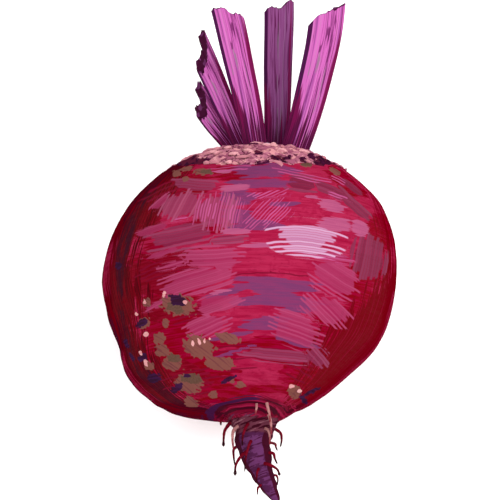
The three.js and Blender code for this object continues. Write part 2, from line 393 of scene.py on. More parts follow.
def skin_dark_reds_and_shade(p, base):
    """Dark reds, hatched lengthwise: darker red patches, and painted shade along the flanks and
    the lower edge.
    """
    arc_left = p.round_streaks(4.0, 1.5, slope=0.5, offset=13.0)
    hatch = p.span(p.round_streaks(46.0, 0.06, offset=31.0), 0.4, 0.6)
    hatch_fine = p.span(p.round_streaks(90.0, 0.1, offset=41.0), 0.42, 0.58)
    upright_fine = p.span(p.long_streaks(100.0, offset=61.0), 0.57, 0.62)
    base = p.layer(base, "red", ("9C0030", "8A0012"), p.arc, 2.0)
    # darker reds: painted shade over the left half above, and plain darker patches underneath
    base = p.layer(base, "deep", ("7C0014", "8E0A28"), arc_left, 1.9, 0.95)
    # painted shade down the left flank above, and plain maroon patches underneath
    base = p.layer(base, "maroon_and_left_shade", ("7A0014", "560210"), p.steep, 1.7, second=hatch_fine)
    # painted shade down the right flank
    base = p.layer(base, "right_flank_shade", ("780010", "8E062A"), p.upright, 1.7, second=upright_fine)
    # painted shade round the left and lower edge above, and plain dark patches underneath
    return p.layer(base, "dark_and_edge_shade", ("560616", "440A20"), p.steep, 1.4, second=hatch)


def skin_patches(p, base):
    """Brown, purple and pink patches, the lightest ones last: the last is a painted highlight in
    lilac strokes.
    """
    base = p.brush(base, "brown", ("761A3A", "903C5C"), 0.7, 0.76, 0.92, 0.72, 0.7)
    base = p.brush(base, "ember", ("8C0A30", "7A0A2A"), 1.25, 0.42, 0.85, 0.0, 1.1)
    base = p.layer(base, "purple", ("86386A", "783A6C"), p.arc, 1.8, 0.9)
    base = p.brush(base, "dusk", ("842448", "A0466A"), 0.7, 0.74, 0.9, 0.6, 0.7)
    base = p.brush(base, "mauve", ("943258", "B4567A"), 0.6, 0.74, 0.9, 0.65, 0.7)
    base = p.brush(base, "rose", ("A42A58", "B84874"), 0.52, 0.8, 0.9, 0.7, 0.65)
    base = p.layer(base, "dusty", ("B4527E", "BE5A84"), p.arc_fine, 1.2, 0.95)
    base = p.brush(base, "pink", ("D05E9A", "BE4A80"), 0.72, 0.44, 0.85, 0.0, 1.0)
    # a painted highlight in lilac strokes
    return p.brush(base, "lilac_highlight", ("C682AC", "E0B0D4"), 0.62, 0.76, 0.95, 0.5, 0.95)


def collar_rings(p, base):
    """Drawn-in rings where the root closes in on the tail."""
    ringed = p.multiply_add(p.wobble, 0.8, p.attribute("collar_across"))
    ringed = p.node("ShaderNodeCombineXYZ", {0: p.math("MULTIPLY", ringed, 1.25)}).outputs[0]
    ringed = p.vector("ADD", ringed, p.scaled(p.out, 1.1))
    rings = p.noise(ringed, 1.0, 3.0, 0.6)
    collar = p.mix(p.span(rings, 0.44, 0.48), "4A0A20", "7C0A2C")
    collar = p.coat(collar, p.span(rings, 0.56, 0.6), "A81E48")
    collar = p.coat(collar, p.edge("collar_purple", rings, 2.2, 0.06), "481844")
    return p.coat(base, p.edge("collar", rings, 1.6), collar)


def skin_rim_light_and_edge_shade(p, base):
    """A redder painted rim light in places, and ragged painted shade along the edge low on the
    left.
    """
    plum = p.span(p.blots, 0.48, 0.56)
    # painted rim light
    base = p.layer(base, "painted_rim_light", ("8E1036", "A02046"), p.upright, 1.3)
    # painted shade along the edge low on the left
    return p.layer(base, "side", ("50081A", "36102E"), p.steep, 1.5, 0.9, second=plum)


def skin_blemishes(p, base):
    """Brown cork scabs, darker inside, with dark dabs and pale specks."""
    rough_edge = p.noise(p.place, 0.8, 1.5)
    slanted = p.span(p.round_streaks(6.0, 1.8, slope=0.7, offset=83.0), 0.54, 0.64)
    mottled = p.span(p.grain, 0.42, 0.6)
    scab = ("88524A", "784244")
    base = p.layer(base, "cork", scab, rough_edge, 1.2, 0.95, level=0.58, second=slanted)
    base = p.layer(base, "olive", ("64483A", "6E4E44"), rough_edge, 1.5, 0.95, second=mottled)
    base = p.layer(base, "dab", ("3E1644", "32102E"), rough_edge, 1.6, 0.95)
    return p.layer(base, "speck", ("F5B4B4", "E89A9E"), rough_edge, 1.2)


def tail_skin(p, base):
    """The tail: purple with dark rings, painted shade along each side, and browner at its start.
    """
    rings = p.round_streaks(1.3, 1.5, slope=-0.35, detail=3.0, offset=71.0)
    tail = p.mix(p.span(rings, 0.42, 0.5), "4A1838", "6E3668")
    tail = p.coat(tail, p.span(p.blots, 0.5, 0.56), "54224A")
    tail = p.coat(tail, p.edge("tail_side_shade", rings, 0.8, 0.1), "480E26")
    start = p.mix(p.span(rings, 0.42, 0.5), "3E0A1C", "6E3446")
    start = p.coat(start, p.span(rings, 0.58, 0.62), "96606C")
    tail = p.coat(tail, p.span(p.attribute("tail_base"), 0.3, 0.7), start)
    return p.coat(base, p.edge("tail", rings, 1.4, 0.1), tail)


def crown_skin(p, base, cracks):
    """The crown: flaky cork, salmon and pink over dark cracks."""
    flakes = p.node("ShaderNodeTexVoronoi", {"Vector": p.place, "Scale": 0.75}, feature="F1")
    cell = p.node("ShaderNodeSeparateColor", {0: flakes.outputs["Color"]}).outputs[0]
    cork = p.mix(p.span(cell, 0.2, 0.5), "A85874", "D08096")
    cork = p.coat(cork, p.span(cell, 0.7, 0.75), "F0A0A8")
    cork = p.coat(cork, p.span(cracks, 0.55, 0.6), "5A1838")
    dark = p.mix(p.span(cell, 0.3, 0.5), "3A0E2C", "5E1C34")
    cork = p.coat(cork, p.edge("crown_dark", cracks, 1.6, 0.06), dark)
    return p.coat(base, p.edge("crown", cracks, 1.8, 0.06), cork)


def skin_material():
    p = SkinPaint("beetroot_skin")
    p.gloss(0.008)
    base = skin_ground(p)
    for paint_on in (
        skin_dark_reds_and_shade, skin_patches, collar_rings, skin_rim_light_and_edge_shade, skin_blemishes, tail_skin,
    ):
        base = paint_on(p, base)
    cracks = p.noise(p.place, 0.9, 4.0, 0.7)
    base = crown_skin(p, base, cracks)

    height = p.multiply_add(p.arc_fine, 0.7, p.math("MULTIPLY", p.grain, 0.35))
    height = p.multiply_add(p.attribute("crown"), cracks, height)
    p.bump(height, 0.2, 0.15)
    rough = p.span(p.arc_fine, 0.35, 0.65, 0.38, 0.55)
    dull = p.math("MULTIPLY", p.attribute("dull"), 0.3)
    return p.finish(base, p.math("ADD", rough, dull, clamp=True))


# ---- The other materials ------------------------------------------------------------------


def stalk_material(name, body, light, shade, edge, dull):
    """A ribbed leaf stalk: streaks run its length. Its mesh says how far round and along it is."""
    p = Paint(name)
    p.gloss(0.015)
    around = p.attribute("around")
    length = p.attribute("length")

    def lines(count, stretch, offset):
        spot = {0: p.multiply_add(around, count, offset), 1: p.math("MULTIPLY", length, stretch)}
        return p.noise(p.node("ShaderNodeCombineXYZ", spot).outputs[0], rough=0.6)

    wide = lines(11, 0.5, 3.0)
    fine = lines(24, 0.7, 11.0)
    hair = lines(70, 1.4, 21.0)
    worn = lines(20, 2.2, 31.0)
    foot = lines(38, 0.3, 41.0)
    base = p.mix(p.span(wide, 0.38, 0.4), shade, body)
    base = p.coat(base, p.span(fine, 0.57, 0.59), light, 0.6)
    base = p.coat(base, p.span(hair, 0.62, 0.64), shade, 0.35)
    base = p.coat(base, p.span(worn, 0.63, 0.65), dull, 0.8)
    for grooves, level in ((fine, 0.43), (wide, 0.55)):
        base = p.coat(base, p.span(p.apart(grooves, level), 0.016, 0.01), edge, 0.8)
    base = p.coat(base, p.edge("groove", fine, 1.2, 0.1), shade)
    # painted shade along the side away from the key light
    base = p.coat(base, p.edge("flank_shade", wide, 1.0, 0.06), "541A50")
    # darker maroon towards the key light side, and painted shade near the foot on the far side
    base = p.coat(base, p.edge("maroon_and_foot_shade", fine, 1.4, 0.06), "7E1450")
    base = p.coat(base, p.edge("foot", foot, 2.6, 0.08), "5A1240")
    base = p.coat(base, p.edge("foot", fine, 3.0, 0.06, level=0.9), "7C1250")
    patches = p.span(p.noise(p.place, 0.45, 1.5), 0.54, 0.58)
    torn = p.mix(patches, "4A1034", "743468")
    base = p.coat(base, p.edge("torn", hair, 0.8, 0.1), torn)
    p.bump(p.multiply_add(hair, 0.4, fine), 0.3, 0.35)
    return p.finish(base, p.span(fine, 0.3, 0.7, 0.36, 0.55))


def side_root_material(name, start, tip):
    p = Paint(name, roughness=0.6)
    p.gloss(0.01)
    grain = p.noise(p.place, 1.6, 3.0, 0.6)
    share = p.span(p.multiply_add(grain, 0.5, p.attribute("length")), 0.75, 1.15)
    base = p.coat(p.mix(share, start, tip), p.span(grain, 0.5, 0.6), tip, 0.4)
    p.bump(grain, 0.1, 0.6)
    return p.finish(base)


def flake_material():
    p = Paint("crown_cork", roughness=0.72)
    grain = p.noise(p.place, 2.0, 4.0, 0.65)
    hue = p.multiply_add(p.math("SUBTRACT", grain, 0.5), 0.24, p.attribute("hue"))
    base = p.mix(p.span(hue, 0.12, 0.2), "4A1436", "B0607C")
    for low, high, lighter in (
        (0.36, 0.44, "D68896"), (0.62, 0.7, "FCB2BA"), (0.88, 0.94, "E6B6CE"), (0.98, 1, "9C7468"),
    ):
        base = p.coat(base, p.span(hue, low, high), lighter)
    p.bump(grain, 0.3, 0.8)
    return p.finish(base)


def floor_material():
    p = Paint("pale_floor", roughness=0.8, specular=0.1)
    speckle = p.noise(p.place, 0.02)
    return p.finish(p.mix(speckle, (0.93, 0.93, 0.93, 1), (0.96, 0.96, 0.96, 1)))


# ---- Where the root's patches lie ---------------------------------------------------------

BRUSHED = ("brown", "ember", "dusk", "mauve", "rose", "pink", "lilac_highlight")
ARCHED = ("ember", "lilac_highlight")
ARCH = 0.013  # how much their strokes curve: mm up for each square mm across

# Patches on the upper side, laid out on the sheet: across, up it, half width and half height in
# mm, and the slant of the patch in degrees. A sixth number, where the brush strokes run another
# way than the patch, is their slant.
UPPER = {
    "red": [
        (-29, 15, 5, 4, 30), (-31, 20, 5, 5, 30), (-20, -1, 9, 3, 15), (-26, 4, 7, 5, 15),
        (-17, 26, 7, 4, 15), (-20, -16, 9, 12, 0), (-12, -22, 8, 7, 0), (36, 13, 4.4, 5, 0),
        (26, 26, 6, 2, -40), (4, -17, 9, 2, 0), (0, -29, 16, 1.4, 0), (10, -19, 9, 2, 0),
        (-4, 29, 6, 2, 0), (-10, 14, 5, 1.5, 10), (29, -4, 7, 4.5, -40), (22.5, -15, 6, 8, 0),
        (32, 3, 4, 5, 0), (14, -26, 6, 5, -20), (-8, -31, 8, 2, 0),
    ],
    # painted shade, mostly over the left half
    "deep": [
        (-27.6, 16, 4.2, 4, 25), (-18, 5.2, 5.6, 2.6, 12), (-26, 1.4, 8, 5.2, 10),
        (-23, 26, 5, 2.4, 22), (-24, -7, 5, 3.4, 10), (-17, -24.5, 6, 3.4, -20),
        (-12, -7.6, 5, 1.1, 12), (-14, 15.6, 4, 0.9, 8),
    ],
    # painted shade along the left and lower edge
    "dark_and_edge_shade": [
        (-27.4, 24, 6.5, 1.5, 50), (-32.4, 14, 1.4, 6, -10), (-34.6, 3, 1, 6, 0),
        (-26, -27.4, 8, 1.6, -40), (-16, -33.6, 8, 1.4, -14), (-33, -16, 1.4, 6, 14),
        (-19.5, 31, 5, 1.4, 34), (-6, -35.4, 5, 1.6, 0), (11, -35, 4, 1.2, 20),
    ],
    "brown": [
        (28, 20.4, 5.4, 1.5, -42), (27.4, 25, 3.6, 0.8, -38), (31.6, 6.4, 4.2, 5, 0, 78),
        (13.9, 25.8, 4, 2, -8), (22, 24, 5, 1.4, -22),
    ],
    "ember": [
        (9, -19, 8, 2, -10), (-4, -20, 8, 3, 8), (-14, -26, 7, 4, 12), (14, -23, 3, 3, -30),
        (-20, 4, 9, 2, 14), (-22, 24, 6, 3, 20), (6, 1.6, 8, 0.8, 0), (-16, -8, 6, 3, 14),
    ],
    "purple": [
        (3, 29.6, 9, 1.8, 0), (3, 26, 8, 1.2, 0), (-3, 22, 5, 1.8, 0), (-3, 17.4, 4, 2, 0),
        (2, 14.6, 7, 1.4, 0), (8, -1.3, 10.5, 1.9, -5), (10, -5.6, 8.5, 2.2, -6),
        (2.5, -5, 7, 1.2, 4), (4, -11.4, 6.5, 1.8, 4), (13, -16.4, 6, 0.8, -12),
        (9, 20.4, 4, 0.8, 0),
        (-6, -3, 6, 0.9, 14), (-4, -14.2, 7, 0.8, 12), (-3.5, -18.5, 5.5, 0.5, 16),
    ],
    "dusk": [
        (-18.2, 11.7, 8, 3.4, 10, 12), (-5.7, 11.2, 4.5, 1.2, 4), (-14.4, 25.8, 5, 2, -4),
        (8.5, -20, 9, 1.6, -6), (18, -20.5, 3, 2.4, -40, -50),
    ],
    "mauve": [(-18.2, 20.1, 5.4, 3, 15, 62), (-8.8, 18.2, 5.4, 4, 0, 78)],
    "rose": [
        (-9.8, 6.3, 6.6, 2.5, 0, 3), (-13.9, 0, 8.4, 2.7, 12, 18), (-8.4, -5.7, 5.4, 2.1, 10, 20),
        (-11.1, -12, 5.2, 2.3, 8, 24), (22.8, 0.8, 6, 4, -32), (20.7, -7.9, 6, 3, -20, -46),
        (12.2, -13.3, 6, 4, -25, -20), (22, 6.4, 5, 1.2, -10), (-26, 13.6, 5, 0.9, 18),
        (-23, 7.4, 5, 0.7, 18), (-20, 4.4, 4, 0.8, 16), (-24, -6, 4, 0.6, 30),
        (-24, 21, 3, 0.9, 40),
    ],
    "dusty": [
        (-3.8, 24.8, 4, 1, 4), (-3.5, 13.2, 4.2, 0.7, 0), (1.9, 9.4, 5, 0.6, 0),
        (22.3, 19.9, 3.6, 1.5, -15), (22.8, 14.9, 4.4, 1.8, -4), (29.6, 14.1, 2.5, 2, -35),
        (16.6, 22.4, 2.2, 0.4, 0), (-8, -2.8, 3, 0.5, 10), (-7, 29.4, 2.4, 0.5, 0),
    ],
    "pink": [
        (-5.4, 30.2, 4.2, 1.2, 5), (4.9, 23, 5, 1.1, 8, 25), (4.1, 18.2, 6, 3.2, 20, 45),
        (15, 28, 6.6, 1.5, -14, -12), (23.8, 27, 2.2, 0.7, -28), (23.1, 22.8, 3.6, 0.9, -14),
        (-8.2, 18.5, 6, 3.8, 0, 78), (19.3, 6.4, 6.4, 1, -8), (-18.6, 16.4, 3, 0.5, 12),
    ],
    # a painted highlight
    "lilac_highlight": [(15, 11.4, 8, 3.8, -6, -5)],
    "cork": [
        (-19, -6.4, 4.8, 3, -10), (-28.2, -11.2, 2, 1.6, 30), (-22.2, -11.3, 1, 1.3, 0),
        (-24.1, -15.4, 1.8, 1.8, 0), (-23.2, -18.6, 2, 1.6, 0), (-13.3, -17.4, 4.4, 3.2, -15),
        (-5.7, -15.2, 3.6, 1.5, -8), (-7.6, -22, 4, 2.1, -8), (-20.5, -21.6, 2.6, 2.3, 0),
        (-16, -27, 3.8, 3, -20), (-15.6, -32.6, 2, 1.5, -20), (-26.8, -22.8, 1.3, 1.3, 0),
        (-27.2, -5.8, 1.1, 1.2, 0), (-9.7, -30.2, 1.3, 1.1, 0), (-2.4, -27.6, 1.5, 0.9, 0),
        (-4.6, -26.2, 0.8, 1, 0), (12, -29.6, 2, 1.9, -30), (-12.4, 29.3, 2.6, 1.1, 0),
        (-19.6, 28.9, 1.3, 1, 0), (-17, 27.2, 1.1, 0.8, 0), (-17, 30.2, 1.8, 0.8, 12),
        (15.4, 31.2, 1.6, 0.9, 0), (23, 29.4, 1.8, 0.9, -30),
    ],
    "olive": [
        (-19.8, -7, 2.2, 1.4, -20), (-20, -20.6, 1.6, 1.1, 0), (-15.4, -25.8, 2.4, 1.6, -10),
        (-11.5, 29.2, 1.4, 0.7, 0), (15.4, 31.2, 1.2, 0.6, 0),
    ],
    "dab": [
        (-19.2, -5.2, 2.4, 1.5, -20), (-28.8, -11.2, 1.8, 0.9, 40), (-28.6, -20.5, 1.5, 1, 30),
        (-25.4, -26, 1.8, 1.2, 10), (-16.6, -25, 0.9, 0.6, 0), (-19.4, -28.6, 1.9, 0.9, 40),
        (-5.6, -26.2, 2.2, 0.6, 28), (-35.2, 4.1, 0.9, 1.1, 0), (16.7, -29.8, 2.6, 0.5, 25),
        (14.4, -31.8, 1.6, 0.6, -50), (-33, -17, 0.6, 1.4, 20), (-31.6, -20.6, 0.5, 1.2, 30),
    ],
    "speck": [
        (-27.7, -14.4, 0.7, 0.7, 0), (-29.1, -19.4, 0.5, 0.5, 0), (-27.7, -22, 0.6, 0.8, 0),
        (-14.9, -16.4, 0.4, 0.7, 20), (-13.3, -16, 0.4, 0.8, 10), (-11.9, -15.7, 0.4, 0.7, 0),
        (-10.7, -15.3, 0.3, 0.5, 0), (-30.2, -8.8, 0.4, 0.5, 0),
        (-22.6, -3.6, 0.7, 0.5, 30), (11.2, -28, 0.7, 0.5, 0), (13.3, -29.4, 0.7, 0.5, -20),
        (-17, -5.7, 0.7, 0.5, 0), (-27.6, -5.6, 0.5, 0.6, 0),
    ],
}

# Patches on the under side: how many, and the range of their half widths and half heights.
SCATTERED = {
    "red": (16, (5, 11), (2, 5)),
    "deep": (8, (4, 9), (2, 4)),
    "maroon_and_left_shade": (9, (3, 7), (5, 12)),
    "dark_and_edge_shade": (5, (2, 5), (3, 7)),
    "brown": (6, (3, 6), (2, 4)),
    "ember": (7, (5, 10), (2, 4)),
    "purple": (12, (5, 10), (1.4, 2.6)),
    "dusk": (6, (4, 8), (1.6, 3)),
    "mauve": (4, (4, 6), (2, 3)),
    "rose": (9, (4, 7), (1.6, 3.6)),
    "dusty": (6, (3, 5), (0.6, 1.6)),
    "pink": (9, (3, 6), (0.6, 1.8)),
    "lilac_highlight": (1, (6, 8), (2, 3)),
    "cork": (14, (1.2, 4), (1, 3)),
    "olive": (4, (1, 2), (0.8, 1.4)),
    "dab": (7, (1, 2.4), (0.7, 1.4)),
    "speck": (6, (0.5, 1), (0.4, 0.7)),
}

# The pit in the largest scab, and dark notches along the crown's edge, laid out the same way.
SCAB_PIT = (-19.2, -5.4, 2.2, 1.2, -20)
CROWN_NOTCHES = [
    (-12.6, 32.4, 2, 0.8, 10), (-16.4, 31.6, 2, 1.2, 30), (7, 33.4, 1.5, 0.8, 0),
    (9.8, 32.8, 1.3, 0.9, 0), (2.4, 34.6, 1.2, 0.5, 0), (18.4, 31.3, 2.4, 1.1, -30),
    (-19, 30, 3, 0.8, 40), (14.6, 32.6, 1.2, 0.6, -20),
]

# Where the painted shade on the flanks begins: up the sheet, and across it, in mm.
LEFT_SHADE_EDGE = [
    (-36.5, 0), (-35.6, -6.5), (-31, -17), (-24, -23.5), (-13, -29), (-2.5, -27), (3, -31),
    (11, -29.5), (18, -25.5), (24.8, -20.5), (33, -13),
]
RIGHT_SHADE_EDGE = [
    (-36, 8), (-33, 10.5), (-28.6, 13), (-20.4, 17), (-12.2, 20.4), (-8.7, 26), (0.3, 34),
    (6, 37.4), (14, 36), (22, 34), (30, 26),
]


# ---- The root -----------------------------------------------------------------------------

ROOT_COLUMNS = 320
ROOT_ROWS = 300


def ellipse(across, up, spot):
    """A soft rounded patch on the sheet: 1 at its middle, 0.5 on its outline, 0 well outside."""
    x, y, half_x, half_y, slant = spot[:5]
    turn = math.radians(slant)
    dx, dy = across - x, up - y
    a = (dx * math.cos(turn) + dy * math.sin(turn)) / half_x
    b = (-dx * math.sin(turn) + dy * math.cos(turn)) / half_y
    reach = (np.abs(a) ** 2.5 + np.abs(b) ** 2.5) ** 0.4
    return np.clip(1.5 - reach, 0, 1)


class RootSurface:
    """The plain root, point by point, and the masks that its paint and its relief use."""

    def __init__(self):
        body, rows = self.rings()
        ends = [
            [OUTLINE[0, 2], TAIL_END, AXIS_HEIGHT - TAIL_DROOP],
            [OUTLINE[-1, 2], CROWN_TOP, AXIS_HEIGHT],
        ]
        self.points = np.vstack([body, ends])
        self.normals = self.plain_normals(body, rows)
        self.faces = self.closed_faces(rows)
        self.across, self.y, self.z = self.points.T
        self.sheet = up_the_sheet(self.y, self.z)
        self.facing = toward_the_camera(self.normals[:, 1], self.normals[:, 2])
        self.upper = rise(self.facing, -0.02, 0.12)
        self.lower = fall(self.facing, -0.2, 0)
        self.masks = {}

    def rings(self):
        """Rings of points along the outline, closer together at the crown and on the tail."""
        along = OUTLINE[:, 0]
        step = np.linalg.norm(np.diff(OUTLINE[:, :2], axis=0), axis=1)
        middle = (along[1:] + along[:-1]) / 2
        density = 1 + 1.1 * rise(middle, 20, 27) + 1.3 * fall(middle, -37, -30)
        travelled = np.concatenate([[0], np.cumsum(step * density)])
        index = np.arange(len(along))
        at = np.interp(np.linspace(0, travelled[-1], ROOT_ROWS), travelled, index)[1:-1]
        y, radius, shift = (
            np.repeat(np.interp(at, index, OUTLINE[:, k]), ROOT_COLUMNS) for k in range(3)
        )
        turn = np.linspace(0, 2 * np.pi, ROOT_COLUMNS, endpoint=False)
        angle = np.tile(turn, len(at))
        self.angle = np.concatenate([angle, [0, 0]])
        z = AXIS_HEIGHT - droop_at(y) + radius * np.cos(angle) * DEPTH
        return np.column_stack([shift + radius * np.sin(angle), y, z]), len(at)

    def plain_normals(self, body, rows):
        grid = body.reshape(rows, ROOT_COLUMNS, 3)
        around = np.roll(grid, -1, axis=1) - np.roll(grid, 1, axis=1)
        ahead = np.gradient(grid, axis=0)
        normals = np.cross(around, ahead).reshape(-1, 3)
        normals /= np.linalg.norm(normals, axis=1)[:, None] + 1e-12
        return np.vstack([normals, [[0, -1, 0], [0, 1, 0]]])

    def closed_faces(self, rows):
        """The rings' quads, facing out, and a fan to the tip of the tail and of the crown."""
        faces = [f[::-1] for f in ring_faces(rows, ROOT_COLUMNS)]
        last = (rows - 1) * ROOT_COLUMNS
        tail_tip = rows * ROOT_COLUMNS
        crown_tip = tail_tip + 1
        for c in range(ROOT_COLUMNS):
            d = (c + 1) % ROOT_COLUMNS
            faces.append((tail_tip, d, c))
            faces.append((crown_tip, last + c, last + d))
        return faces

    def lay(self, name, spots, share):
        """Adds patches to a mask, and for brushed ones the place across their strokes."""
        total = np.zeros(len(self.points))
        across_strokes = np.zeros(len(self.points))
        for spot in spots:
            reach = ellipse(self.across, self.sheet, spot)
            stroke = math.radians(spot[-1])
            sideways = self.sheet * math.cos(stroke) - self.across * math.sin(stroke)
            if name in ARCHED:
                sideways = sideways + ARCH * (self.across - spot[0]) ** 2
            across_strokes = np.where(reach > total, sideways, across_strokes)
            total = np.maximum(total, reach)
        total = total * share * rise(self.y, -39.6, -38.4)
        before = self.masks.get(name, np.zeros(len(self.points)))
        self.masks[name] = np.maximum(before, total)
        if name in BRUSHED:
            old = self.masks.get(name + "_across", across_strokes)
            self.masks[name + "_across"] = np.where(total >= before, across_strokes, old)


def lay_patches(root):
    """The drawn patches above, and the same kinds of patch scattered over the under side."""
    for name, spots in UPPER.items():
        root.lay(name, spots, root.upper)
    rng = np.random.default_rng(11)
    for name, (count, widths, heights) in SCATTERED.items():
        spots = [
            (
                rng.uniform(-31, 31), rng.uniform(-26, 27), rng.uniform(*widths),
                rng.uniform(*heights), rng.uniform(-25, 25),
            )
            for _ in range(count)
        ]
        root.lay(name, spots, root.lower)


def mask_tail(root):
    masks, y = root.masks, root.y
    masks["tail"] = fall(y, -40.5, -37.2)
    masks["tail_base"] = masks["tail"] * rise(y, -44.5, -41.5)
    ring, centre = ring_at(y)
    lean = (root.across - centre) / np.maximum(ring, 0.5)
    # painted shade along both sides of the tail
    masks["tail_side_shade"] = rise(lean, 0.4, 0.62) + fall(lean, -0.9, -0.66)
    # the collar: flattened rings round the place where the tail begins
    collar = np.hypot((root.across - 0.5) / 1.65, root.sheet + 38)
    masks["collar"] = fall(collar, 4.5, 10.5) * root.upper * (1 - masks["tail"])
    masks["collar_across"] = collar
    masks["collar_purple"] = band(collar, 5.6, 7, 8, 9.6) * fall(root.across, -3, 9)


def mask_flanks(root):
    """The painted shade on the flanks, and the painted rim light just inside the root's outline as
    the camera sees it.
    """
    masks, across, sheet, facing = root.masks, root.across, root.sheet, root.facing
    globe = 1 - masks["tail"]
    seen = rise(facing, -0.4, -0.15) * globe
    left_edge = np.interp(sheet, *np.array(LEFT_SHADE_EDGE).T)
    right_edge = np.interp(sheet, *np.array(RIGHT_SHADE_EDGE).T)
    # painted shade down the left flank, on the side the camera sees
    left_shade = np.clip(0.5 + (left_edge - across) / 4, 0, 1.6) * seen
    masks["maroon_and_left_shade"] = np.maximum(masks["maroon_and_left_shade"], left_shade)
    # painted shade down the right flank, on the side the camera sees
    masks["right_flank_shade"] = np.clip(0.5 + (across - right_edge) / 5, 0, 1.6) * seen
    low_left = fall(across, -16, -4) * fall(sheet, -12, -2)
    # painted shade along the outline low on the left
    masks["side"] = band(facing, -0.16, 0.02, 0.12, 0.26) * low_left * globe
    # painted rim light just inside the outline: wide on the left, slim low on the right
    left = fall(across, -10, -2)
    stretches = np.maximum(
        left * band(sheet, -6, -2, 8, 13), 0.8 * left * band(sheet, -34, -30, -22, -18)
    )
    wide = stretches * band(facing, 0.12, 0.2, 0.24, 0.38)
    low_right = fall(sheet, -6, -2) * rise(across, 6, 12)
    slim = 0.66 * low_right * band(facing, 0.02, 0.16, 0.16, 0.28)
    masks["painted_rim_light"] = np.maximum(wide, slim) * globe


def mask_crown(root):
    masks, points = root.masks, root.points
    boundary = 29.6 - 4.4 * np.clip(np.cos(root.angle), 0, 1) ** 2
    boundary = boundary + 1.2 * lumps(points, 5.0, 3.0) + 0.6 * lumps(points, 2.0, 13.0)
    masks["crown"] = rise(root.y, boundary - 0.7, boundary + 0.9)
    notches = np.max([ellipse(root.across, root.sheet, spot) for spot in CROWN_NOTCHES], axis=0)
    ends = rise(np.abs(root.across - 2), 13, 18) * fall(root.sheet, 33, 36)
    masks["crown_dark"] = np.maximum(notches, 0.9 * ends) * root.upper


def root_relief(root):
    """How far the skin stands out from the plain root, in mm along its normals."""
    masks, points, across, y = root.masks, root.points, root.across, root.y
    rings = np.column_stack([across * 0.12, y, root.z * 0.12])
    wrinkles = np.column_stack([across * 0.22, y + 0.12 * across, root.z * 0.22])
    # broad swells, with smaller lumps low on the left, and fine rings all over
    lumpy = fall(across, -26, -8) * fall(y, -12, -2)
    relief = 0.22 * lumps(points, 14, 1.0) + (0.1 + 0.3 * lumpy) * lumps(points, 5.5, 2.0)
    relief += 0.05 * lumps(rings, 1.3, 4.0)
    # wrinkles round the neck and down the tail
    neck = fall(y, -36, -31) * (1 - masks["tail"])
    relief += neck * 0.3 * lumps(wrinkles, 1.8, 5.0)
    tail = fall(y, -40, -37) * (1 - 0.6 * fall(y, -61, -52))
    relief += tail * 0.42 * lumps(wrinkles, 1.5, 6.0)
    # the crown: rough cork, sunk a little so that its scales stand level with the skin
    relief += masks["crown"] * (0.55 * lumps(points, 2.2, 7.0, 2) + 0.35 * lumps(points, 6, 8.0))
    relief -= 0.3 * rise(y, 20, 27)
    # scabs stand proud, and the largest has a pit in it
    relief += masks["cork"] * (0.16 + 0.16 * lumps(points, 1.6, 9.0))
    return relief - 0.5 * ellipse(across, root.sheet, SCAB_PIT) * root.upper


def root_piece(material):
    root = RootSurface()
    lay_patches(root)
    mask_tail(root)
    mask_flanks(root)
    mask_crown(root)
    masks = root.masks
    masks["dull"] = np.clip(masks["crown"] + masks["cork"] + 0.6 * masks["tail"], 0, 1)
    above_flat_spot = rise(root.z, 0.4, 3.0)
    points = root.points + root.normals * (root_relief(root) * above_flat_spot)[:, None]
    points[:, 2] = np.maximum(points[:, 2], 0)
    return make_piece("root_skin", points, root.faces, "root", material, masks)


# ---- Crown flakes -------------------------------------------------------------------------

FLAKES = 190
FLAKE_SIDES = 10
FLAKE_LEVELS = 4
FLAKE_SUNK = 0.35  # how far a flake's edge is set into the skin, in mm


def flake_hue(rng, centre, normal):
    """A flake's shade from dark at 0 to pale at 1, and its size as a share of the drawn one."""
    hue = rng.uniform(0.14, 0.98) if rng.uniform() > 0.3 else rng.uniform(0.4, 0.85)
    sheet = up_the_sheet(centre.y, centre.z)
    notch = max(float(ellipse(centre.x, sheet, spot)) for spot in CROWN_NOTCHES)
    seen = toward_the_camera(normal.y, normal.z) > 0.1
    if notch > 0.45 or (seen and abs(centre.x - 2) > 14.5 and rng.uniform() < 0.85):
        return rng.uniform(-0.3, 0.1), 0.7
    if abs(centre.x - 1.5) < 4.5 and sheet < 35.2 and rng.uniform() < 0.4:
        return rng.uniform(0.88, 0.94), 1
    return hue, 1


